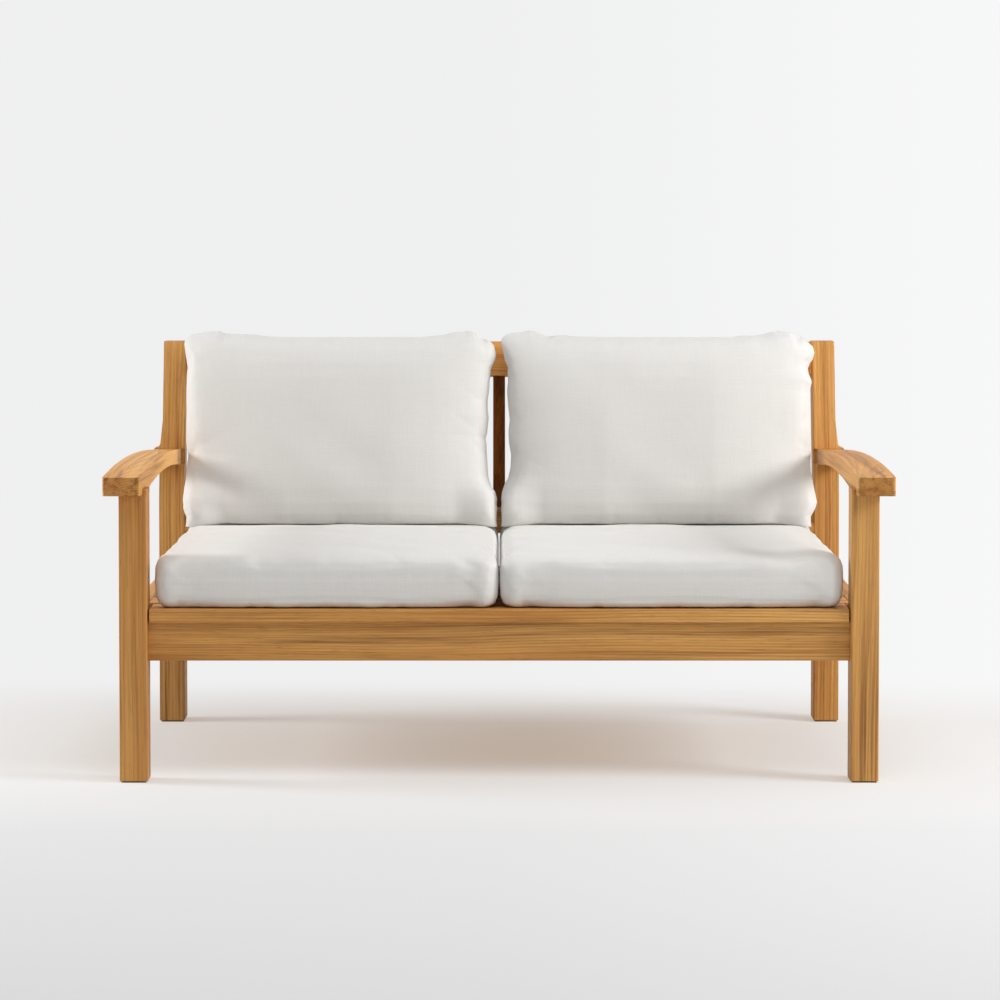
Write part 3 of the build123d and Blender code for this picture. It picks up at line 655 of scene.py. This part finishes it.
def inflate(piece, values, cap, face):
    # pressure swells the cloth along its face, and no point moves further than the cap
    makeActive(piece)
    before = readPoints(piece)
    cloth = piece.modifiers.new("swell", "CLOTH")
    cloth.settings.quality = values["quality"]
    cloth.settings.mass = values["mass"]
    cloth.settings.tension_stiffness = values["stretch"]
    cloth.settings.compression_stiffness = values["stretch"]
    cloth.settings.shear_stiffness = values["shear"]
    cloth.settings.bending_stiffness = values["bend"]
    cloth.settings.use_pressure = True
    cloth.settings.uniform_pressure_force = values["pressure"]
    cloth.settings.effector_weights.gravity = 0
    cloth.collision_settings.use_collision = False
    cloth.point_cache.frame_start = 1
    cloth.point_cache.frame_end = values["frames"]
    for step in range(1, values["frames"] + 1):
        scene.frame_set(step)
    bpy.ops.object.modifier_apply(modifier=cloth.name)
    scene.frame_set(1)
    moved = readPoints(piece) - before
    along = np.outer(moved @ np.array(face), face)
    moved = along + (moved - along) * values["drawIn"]
    far = np.linalg.norm(moved, axis=1, keepdims=True)
    keep = np.minimum(1, cap / np.maximum(far, values["leastMove"]))
    writePoints(piece, before + moved * keep)


def stretchTo(values, low, high):
    # the cloth draws in as it swells, so its extent is set back to the cover's
    return low + (values - values.min()) * (high - low) / (values.max() - values.min())


def evenRows(across, along, half, alongHalf):
    # brings the edge of every row out to the half width, ready for its table
    side = outlineValues["sideReach"]
    rows = np.linspace(-side, side, outlineValues["sideRows"])
    shares = along / alongHalf
    for facing in (1, -1):
        reach = [(facing * across)[np.abs(shares - row) < outlineValues["rowWidth"]].max()
                 for row in rows]
        scale = half / np.interp(shares, rows, reach)
        across = np.where(facing * across > 0, across * scale, across)
    return across


def fromTable(shares, table):
    # millimetres from a table of (share, millimetres)
    places, sizes = zip(*table)
    return np.interp(shares, places, sizes) / 1000


def smoothStep(value, low, high):
    share = np.clip((value - low) / (high - low), 0, 1)
    return share * share * (3 - 2 * share)


def wavyNoise(s, seed, waves):
    # a smooth seeded curve along s, from a few sine waves
    dice = random.Random(seed)
    total = np.zeros_like(s)
    for length, size in waves:
        total += size * np.sin(2 * math.pi * s / length + dice.uniform(0, 2 * math.pi))
    return total


def subdivide(piece):
    makeActive(piece)
    smoother = piece.modifiers.new("rounder", "SUBSURF")
    smoother.levels = 1
    smoother.render_levels = 1
    bpy.ops.object.modifier_apply(modifier=smoother.name)


def mergeShell(piece, threshold):
    makeActive(piece)
    bpy.ops.object.mode_set(mode="EDIT")
    bpy.ops.mesh.select_all(action="SELECT")
    bpy.ops.mesh.remove_doubles(threshold=threshold)
    bpy.ops.mesh.normals_make_consistent(inside=False)
    bpy.ops.object.mode_set(mode="OBJECT")


def softMax(values, floor, softness):
    return floor + 0.5 * ((values - floor) + np.sqrt((values - floor) ** 2 + softness ** 2))


def ridgeOf(x, y, path):
    # a soft ridge, or a valley, along a line through the first three places of the path
    *places, height, width = path
    near = np.full_like(x, np.inf)
    for (x1, y1), (x2, y2) in zip(places[:-1], places[1:]):
        length = (x2 - x1) ** 2 + (y2 - y1) ** 2
        share = np.clip(((x - x1) * (x2 - x1) + (y - y1) * (y2 - y1)) / length, 0, 1)
        near = np.minimum(near, np.hypot(x - x1 - share * (x2 - x1), y - y1 - share * (y2 - y1)))
    return height * np.exp(-(near / width) ** 2)


def layGrain(piece, values):
    # the cloth's own map, in metres: each face takes the plane that it looks along most
    data = piece.data
    while data.uv_layers:
        data.uv_layers.remove(data.uv_layers[0])
    layer = data.uv_layers.new(name="clothGrain")
    axes = np.array(values["axes"], dtype=float).T
    corners = np.empty(len(data.loops), dtype=np.int64)
    data.loops.foreach_get("vertex_index", corners)
    turned = readPoints(piece)[corners] @ axes
    normals = np.empty(len(data.polygons) * 3)
    data.polygons.foreach_get("normal", normals)
    facing = np.abs(normals.reshape(-1, 3) @ axes) * np.array(values["favour"])
    counts = np.empty(len(data.polygons), dtype=np.int64)
    data.polygons.foreach_get("loop_total", counts)
    chosen = np.repeat(np.argmax(facing, axis=1), counts)
    flat = np.empty((len(corners), 2))
    for index, plane in enumerate(((1, 2), (0, 2), (0, 1))):
        pick = chosen == index
        flat[pick] = turned[pick][:, plane]
    layer.data.foreach_set("uv", flat.ravel())


def finishCushion(piece, values, seed):
    makeActive(piece)
    bpy.ops.object.shade_smooth()
    layGrain(piece, values)
    piece.data.materials.clear()
    piece.data.materials.append(makeCanvas(f"canvas_{piece.name}", canvasLook, seed))


# Seat cushions: the core's own shape, swollen by the cloth

seatCushion = {
    "voxel": 0.0064,
    "cap": 0.006,
    "restHeight": 0.3113,
    "landingStart": 0.135,
    "landingEnd": 0.165,
    "landingHeight": 0.4057,
    "restSoftness": 0.002,
    "innerEdge": 0.0007,
    "outerEdge": 0.6197,
    "topHeight": 0.4155,
    # millimetres that the edge stands back, at shares of the height
    "profile": ((0.0, 7.0), (0.03, 4.5), (0.08, 2.8), (0.14, 1.8), (0.22, 1.0), (0.36, 0.2),
                (0.5, 0.0), (0.62, 0.3), (0.7, 1.1), (0.76, 2.2), (0.81, 4.0)),
    "undulation": 0.0011,
    "pucker": 0.0005,
    # ridges in the top: points across and along, height, and how wide they are
    "ridges": {
        "left": (((-0.617, -0.31), (-0.575, -0.235), (-0.52, 0.0), 0.0018, 0.03),
                 ((-0.002, -0.325), (-0.05, -0.27), (-0.08, -0.05), 0.0014, 0.026)),
        "right": (((0.614, -0.324), (0.566, -0.262), (0.52, 0.06), 0.0055, 0.03),
                  ((0.50, -0.30), (0.47, -0.2), (0.42, 0.1), -0.005, 0.04),
                  ((0.002, -0.325), (0.05, -0.28), (0.08, -0.08), 0.0014, 0.026)),
    },
    # how the sides are brought to the profile, and where that fades out below the crown
    "levels": (0.0, 0.8, 33),
    "levelWidth": 0.02,
    "crownFade": (0.80, 0.90),
    # the cloth's faint waves and the puckers at its edges, as lengths and weights
    "longWaves": ((0.19, 1.0), (0.11, 0.5)),
    "crossWaves": ((0.23, 1.0), (0.13, 0.5)),
    "waveSlant": (0.4, 0.3),
    "puckers": ((0.041, 1.0), (0.063, 0.8), (0.027, 0.4)),
    "puckerReach": 0.07,
    "topFade": (0.2, 0.7),
    "mergeReach": 0.00002,
    "axes": ((1, 0, 0), (0, 1, 0), (0, 0, 1)),
    "favour": (1, 1, 1.15),
    "firstSeed": 11,
}


def copyCore(node, name, values):
    # the core's mesh is merged and remeshed evenly, ready for the cloth
    piece = bpy.data.objects.new(name, nodes[node].data.copy())
    scene.collection.objects.link(piece)
    mergeShell(piece, values["mergeReach"])
    remesh = piece.modifiers.new("evenMesh", "REMESH")
    remesh.mode = "VOXEL"
    remesh.voxel_size = values["voxel"]
    bpy.ops.object.modifier_apply(modifier=remesh.name)
    return piece


def squareSides(points, low, high, values):
    # the mesh fills the cover's box, and each height of its sides stands as the profile says
    middle, half = (low + high) / 2, (high - low) / 2
    for axis in range(3):
        points[:, axis] = stretchTo(points[:, axis], low[axis], high[axis])
    x, y = points[:, 0] - middle[0], points[:, 1] - middle[1]
    points[:, 0] = middle[0] + evenRows(x, y, half[0], half[1])
    points[:, 1] = middle[1] + evenRows(y, x, half[1], half[0])
    rise = (points[:, 2] - low[2]) / (high[2] - low[2])
    heights = np.linspace(*values["levels"])
    fade = 1 - smoothStep(rise, *values["crownFade"])
    for axis in range(2):
        away = points[:, axis] - middle[axis]
        reach = [np.abs(away)[np.abs(rise - height) < values["levelWidth"]].max()
                 for height in heights]
        wanted = half[axis] - fromTable(rise, values["profile"])
        scale = wanted / np.interp(rise, heights, reach)
        points[:, axis] = middle[axis] + away * (1 + (scale - 1) * fade)
    return (points - middle) / half


def makeSeatCushion(side, values, seed):
    low, high = [np.array(corner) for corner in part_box(f"seat_cushion_cover_{side}")]
    sign = 1 if side == "right" else -1
    low[0], high[0] = sorted((sign * values["innerEdge"], sign * values["outerEdge"]))
    high[2] = values["topHeight"]
    piece = copyCore(f"seat_cushion_core_{side}", f"seatCushion_{side}", values)
    inflate(piece, clothValues, values["cap"], (0, 0, 1))
    subdivide(piece)
    points = readPoints(piece)
    share = squareSides(points, low, high, values)
    # faint waves in the cloth, short puckers along the edges, and the ridges to the corners
    x, y = points[:, 0].copy(), points[:, 1].copy()
    slantY, slantX = values["waveSlant"]
    wave = (wavyNoise(x + slantY * y, seed, values["longWaves"])
            * wavyNoise(y - slantX * x, seed + 3, values["crossWaves"]))
    outmost = np.max(np.abs(share[:, :2]), axis=1)
    edge = np.exp(-((outmost - 1) / values["puckerReach"]) ** 2)
    around = np.where(np.abs(share[:, 0]) > np.abs(share[:, 1]), y, x)
    fold = wavyNoise(around, seed + 7, values["puckers"])
    top = smoothStep(share[:, 2], *values["topFade"])
    points[:, 2] += (values["undulation"] * wave + values["pucker"] * fold * edge) * top
    for path in values["ridges"][side]:
        points[:, 2] += ridgeOf(x, y, path) * top
    # it rests on the slats, and the back cushion presses its rear down
    points[:, 2] = softMax(points[:, 2], values["restHeight"], values["restSoftness"])
    under = smoothStep(points[:, 1], values["landingStart"], values["landingEnd"])
    pressed = np.minimum(points[:, 2], values["landingHeight"])
    points[:, 2] += (pressed - points[:, 2]) * under
    points[:, 0] = np.clip(points[:, 0], low[0], high[0])
    writePoints(piece, points)
    finishCushion(piece, values, seed)
    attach(piece, f"seat_cushion_{side}")
    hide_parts(f"seat_cushion_cover_{side}", f"seat_cushion_core_{side}")


for seed, side in enumerate(("left", "right"), seatCushion["firstSeed"]):
    makeSeatCushion(side, seatCushion, seed)
print("seat cushions made")


# Back cushions: two panels sewn along their edge, in the plane of the back

backPlane = {"rake": math.radians(10), "foremostHeight": 0.3833}
cosRake, sinRake = math.cos(backPlane["rake"]), math.sin(backPlane["rake"])
upRake = np.array([0, sinRake, cosRake])
forward = np.array([0, -cosRake, sinRake])
# the foremost corner of the lower rail lies in the plane of the back
backOrigin = np.array([0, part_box("lower_back_rail")[0][1], backPlane["foremostHeight"]])

backCushion = {
    "columns": 100,
    "rows": 70,
    "bottomHeight": 0.372,
    "topHeight": 0.7622,
    "halfWidth": 0.3135,
    "seamDepth": 0.0483,
    "frontSwell": 0.090,
    "rearSwell": 0.0475,
    "middleGap": 0.0022,
    "cornerRound": 0.016,
    # millimetres that the side edges stand in, at shares of the height above the seat
    "edges": {
        "left": {
            "outer": ((0.0, 12), (0.02, 8), (0.045, 5), (0.08, 3.5), (0.12, 4), (0.165, 5),
                      (0.205, 7), (0.25, 7.5), (0.29, 8), (0.34, 11), (0.38, 7.5), (0.43, 6),
                      (0.6, 6), (0.65, 5.5), (0.78, 5.5), (0.82, 6), (0.86, 4.5), (0.89, 2.5),
                      (0.93, 0.5), (1.0, -1)),
            "inner": ((0.0, 2), (0.05, 0.5), (0.095, 1.5), (0.14, 5), (0.17, 13), (0.22, 19),
                      (0.35, 22), (0.41, 23), (0.436, 25), (0.46, 22), (0.55, 18.3), (0.6, 20.5),
                      (0.65, 20.5), (0.7, 17.5), (0.77, 16), (0.82, 13.5), (0.87, 6), (0.9, 3),
                      (0.93, 4), (0.97, 8), (1.0, 12)),
        },
        "right": {
            "inner": ((0.0, 2), (0.05, 0.5), (0.095, 1.5), (0.14, 3.5), (0.18, 8), (0.22, 16),
                      (0.28, 20.5), (0.35, 21.5), (0.42, 17), (0.48, 16.5), (0.54, 19),
                      (0.62, 15.5), (0.7, 13.5), (0.76, 15.5), (0.83, 14), (0.87, 8), (0.92, 5),
                      (0.96, 2), (1.0, 0)),
            "outer": ((0.0, 14), (0.02, 9), (0.045, 4), (0.08, 1), (0.12, 3), (0.165, 5),
                      (0.21, 7), (0.25, 9.5), (0.31, 10), (0.36, 8.5), (0.42, 8.5), (0.48, 8.5),
                      (0.57, 8.5), (0.69, 9), (0.72, 8), (0.75, 5), (0.77, 6), (0.8, 11),
                      (0.83, 11), (0.86, 7.5), (0.885, 1.5), (0.925, -2.5), (0.965, 1.5),
                      (1.0, 10)),
        },
    },
    # millimetres that the top stands up, at shares across from the left to the right
    "tops": {
        "left": ((-1.0, -2), (-0.97, 2), (-0.93, 6), (-0.9, 9), (-0.86, 12.5), (-0.82, 14.5),
                 (-0.775, 14), (-0.74, 7.8), (-0.63, 6.5), (-0.55, 5), (-0.46, 1), (-0.32, 0),
                 (0.5, 0), (0.6, 3), (0.67, 5), (0.71, 8.5), (0.75, 11), (0.79, 13.5), (0.83, 15),
                 (0.87, 12.5), (0.905, 6), (0.94, -3), (0.97, -6), (1.0, -8)),
        "right": ((-1.0, -1), (-0.96, 5), (-0.92, 9), (-0.88, 11), (-0.845, 13), (-0.81, 15.5),
                  (-0.77, 12), (-0.73, 5), (-0.69, 1.5), (-0.64, 4), (-0.6, 4), (-0.54, 2),
                  (-0.46, 1), (-0.35, 0), (0.48, 0), (0.54, 3), (0.63, 3), (0.69, 6.5),
                  (0.75, 12), (0.8, 14), (0.86, 13), (0.895, 7), (0.93, 4), (0.97, -3), (1.0, -9)),
    },
    # where the seam gathers the cloth: height and strength
    "gathers": {
        "left": {"outer": ((0.34, 1.0), (0.6, 0.4), (0.8, 0.5)),
                 "inner": ((0.43, 0.9), (0.62, 0.6), (0.83, 0.5), (0.2, 0.4))},
        "right": {"inner": ((0.35, 0.8), (0.55, 0.6), (0.76, 0.4), (0.2, 0.4)),
                  "outer": ((0.27, 0.8), (0.68, 0.4), (0.82, 0.5), (0.45, 0.4))},
    },
    # soft valleys that run in from the gathers: points across and up, depth, and width
    "creases": {
        "left": (((-0.305, -0.038), (-0.26, -0.088), (-0.21, -0.112), -0.0125, 0.02),),
        "right": (((0.305, -0.06), (0.245, -0.098), (0.175, -0.132), -0.0115, 0.023),),
    },
    "creaseReach": 0.09,
    "gatherSize": 0.011,
    "foldDepth": 0.005,
    "foldReach": 0.032,
    "foldTilt": 0.7,
    "cornerForward": 0.036,
    "cornerDrop": 0.0055,
    "dimplePlace": (0.031, 0.001),
    "dimpleSize": 0.009,
    "dimpleDepth": 0.007,
    "cap": 0.012,
    "restHeight": 0.4063,
    "restSoftness": 0.006,
    "rearGap": 0.0006,
    "rearSoftness": 0.008,
    "axes": ((1, 0, 0), tuple(forward), tuple(upRake)),
    "favour": (0.6, 1.6, 0.6),
    "seeds": {"left": 31, "right": 81},
    # rows and columns stand closer together towards the seam, by this share
    "gridEase": 0.45,
    "mergeReach": 0.0002,
    "sideFade": (0.4, 1.0),
    "topFade": (0.2, 0.7),
    "topReach": 0.045,
    "gatherCurve": 1.4,
    "topGather": 0.7,
    "tableSteps": 201,
    # how fast folds and creases set in away from the seam
    "foldOnset": 3,
    "creaseOnset": 2,
    "longWaves": ((0.21, 1.0), (0.13, 0.5)),
    "crossWaves": ((0.26, 1.0), (0.15, 0.5)),
    "waveSlant": (0.3, 0.2),
    "undulation": 0.0014,
    "cornerAcross": (0.72, 1.0),
    "cornerUp": (0.35, 0.85),
    "middleClear": 0.0012,
    # how deep the stuffing stands at a distance from the seam, as shares of the swell
    "swellDistances": (0, 0.004, 0.0094, 0.0175, 0.0293, 0.045, 0.0669, 0.095, 0.125, 0.167, 0.21),
    "frontAcross": (0, 0.11, 0.21, 0.32, 0.44, 0.535, 0.63, 0.735, 0.825, 0.92, 1),
    "frontUp": (0, 0.16, 0.31, 0.46, 0.63, 0.76, 0.87, 0.94, 0.975, 0.995, 1),
    "rearShares": (0, 0.2, 0.39, 0.58, 0.79, 0.93, 1.02, 1.05, 1.06, 1.06, 1.06),
}


def roundedCorner(x, y, halfX, halfY, radius):
    # bends the corner squares of a rectangle into quarter discs
    cornerX = np.clip((np.abs(x) - (halfX - radius)) / radius, 0, None)
    cornerY = np.clip((np.abs(y) - (halfY - radius)) / radius, 0, None)
    inside = (cornerX > 0) & (cornerY > 0)
    roundX = np.sign(x) * (halfX - radius + radius * cornerX * np.sqrt(1 - cornerY ** 2 / 2))
    roundY = np.sign(y) * (halfY - radius + radius * cornerY * np.sqrt(1 - cornerX ** 2 / 2))
    return np.where(inside, roundX, x), np.where(inside, roundY, y)


def backPlan(side, values):
    # half width, half height and middle of a cushion, measured in the plane of the back
    bottom, top = [(values[key] - backOrigin[2]) / cosRake for key in ("bottomHeight", "topHeight")]
    sign = 1 if side == "right" else -1
    middleX = sign * (values["middleGap"] + values["halfWidth"])
    return values["halfWidth"], (top - bottom) / 2, middleX, (top + bottom) / 2


def placeInPlane(x, y, w):
    # across, up and forward from the plane of the back, to the frame's own axes
    return backOrigin + np.outer(x, (1, 0, 0)) + np.outer(y, upRake) + np.outer(w, forward)


def easedShares(flat, ease):
    return np.sin(flat * math.pi / 2) * ease + flat * (1 - ease)


def sewPanels(side, values):
    halfX, halfY, middleX, middleY = backPlan(side, values)
    front = (values["frontSwell"], 1, values["frontAcross"], values["frontUp"])
    rear = (values["rearSwell"], -1, values["rearShares"], values["rearShares"])
    panels = []
    for swell, face, across, along in (front, rear):
        deselectAll()
        bpy.ops.mesh.primitive_grid_add(x_subdivisions=values["columns"],
                                        y_subdivisions=values["rows"], size=2)
        panel = bpy.context.object
        flat = readPoints(panel)
        x = easedShares(flat[:, 0], values["gridEase"]) * halfX
        y = easedShares(flat[:, 1], values["gridEase"]) * halfY
        depth = (np.interp(halfX - np.abs(x), values["swellDistances"], across)
                 * np.interp(halfY - np.abs(y), values["swellDistances"], along))
        x, y = roundedCorner(x, y, halfX, halfY, values["cornerRound"])
        w = values["seamDepth"] + face * swell * np.minimum(depth, 1)
        writePoints(panel, placeInPlane(x + middleX, y + middleY, w))
        if face < 0:
            panel.data.flip_normals()
        panels.append(panel)
    deselectAll()
    for panel in panels:
        panel.select_set(True)
    bpy.context.view_layer.objects.active = panels[0]
    bpy.ops.object.join()
    piece = bpy.context.object
    piece.name = f"backCushion_{side}"
    mergeShell(piece, values["mergeReach"])
    return piece


def settleSwell(w, values):
    # front and rear keep their full depth to each side of the seam
    seam = values["seamDepth"]
    front = stretchTo(np.maximum(w, seam), seam, seam + values["frontSwell"])
    rear = stretchTo(np.minimum(w, seam), seam - values["rearSwell"], seam)
    return np.where(w > seam, front, rear)


def makeBackCushion(side, values, seed):
    sign = 1 if side == "right" else -1
    dice = random.Random(seed)
    halfX, halfY, middleX, middleY = backPlan(side, values)
    piece = sewPanels(side, values)
    inflate(piece, clothValues, values["cap"], forward)
    subdivide(piece)
    points = readPoints(piece) - backOrigin
    x = stretchTo(points[:, 0] - middleX, -halfX, halfX)
    y = stretchTo(points @ upRake - middleY, -halfY, halfY)
    w = settleSwell(points @ forward, values)
    x, y = evenRows(x, y, halfX, halfY), evenRows(y, x, halfY, halfX)
    # the side and top edges follow their tables, and the gathers draw folds in from the seam
    u, v = np.clip(x / halfX, -1, 1), np.clip(y / halfY, -1, 1)
    restRise = (values["restHeight"] - values["bottomHeight"]) / (2 * halfY) / cosRake
    rise = ((v + 1) / 2 - restRise) / (1 - restRise)
    sideGap = np.maximum(halfX - np.abs(x), 0)
    topGap = np.maximum(halfY - y, 0)
    gathered = np.zeros_like(x)
    for facing in (1, -1):
        edge = "outer" if facing == sign else "inner"
        here = facing * x > 0
        drawn = fromTable(rise, values["edges"][side][edge])
        inward = facing * drawn * smoothStep(facing * u, *values["sideFade"])
        x = np.where(here, x - inward, x)
        for height, strength in values["gathers"][side][edge]:
            tilt = dice.uniform(-1, 1) * values["foldTilt"]
            apart = (rise - height) * 2 * halfY + tilt * sideGap
            near = np.exp(-(np.abs(apart) / values["gatherSize"]) ** values["gatherCurve"])
            gathered += strength * near * here * np.exp(-sideGap / values["foldReach"])
    lifted = fromTable(u, values["tops"][side])
    y += lifted * np.exp(-topGap / values["topReach"]) * smoothStep(v, *values["topFade"])
    spots = np.linspace(-1, 1, values["tableSteps"])
    slope = np.abs(np.gradient(fromTable(spots, values["tops"][side])))
    pull = np.interp(u, spots, slope) / slope.max()
    gathered += values["topGather"] * pull * np.exp(-topGap / values["foldReach"])
    swollen = (w - values["seamDepth"]) / values["frontSwell"]
    w -= values["foldDepth"] * gathered * np.clip(swollen * values["foldOnset"], -1, 1)
    for path in values["creases"][side]:
        w += (ridgeOf(x, y, path) * np.exp(-sideGap / values["creaseReach"])
              * np.clip(swollen * values["creaseOnset"], 0, 1))
    dimpleX, dimpleY = values["dimplePlace"]
    away = (halfX - dimpleX - x) ** 2 + (halfY - dimpleY - y) ** 2
    dimple = np.exp(-away / values["dimpleSize"] ** 2)
    w -= values["dimpleDepth"] * dimple * (w > values["seamDepth"])
    # the belly is a little uneven, the lower corners slump forward onto the seat cushion
    slantY, slantX = values["waveSlant"]
    uneven = (wavyNoise(x + slantY * y, seed + 3, values["longWaves"])
              * wavyNoise(y - slantX * x, seed + 4, values["crossWaves"]))
    w += values["undulation"] * uneven * np.clip(swollen, 0, 1)
    corner = smoothStep(np.abs(u), *values["cornerAcross"])
    w += values["cornerForward"] * corner * smoothStep(-v, *values["cornerUp"])
    # it leans on the back, and rests on the seat cushion
    w = softMax(w, values["rearGap"], values["rearSoftness"])
    points = placeInPlane(x + middleX, y + middleY, w)
    rest = values["restHeight"] - values["cornerDrop"] * corner
    points[:, 2] = softMax(points[:, 2], rest, values["restSoftness"])
    points[:, 0] = sign * np.maximum(sign * points[:, 0], values["middleClear"])
    writePoints(piece, points)
    finishCushion(piece, values, seed)
    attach(piece, f"back_cushion_{side}")
    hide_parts(f"back_cushion_cover_{side}", f"back_cushion_core_{side}")


for side in ("left", "right"):
    makeBackCushion(side, backCushion, backCushion["seeds"][side])
print("back cushions made")
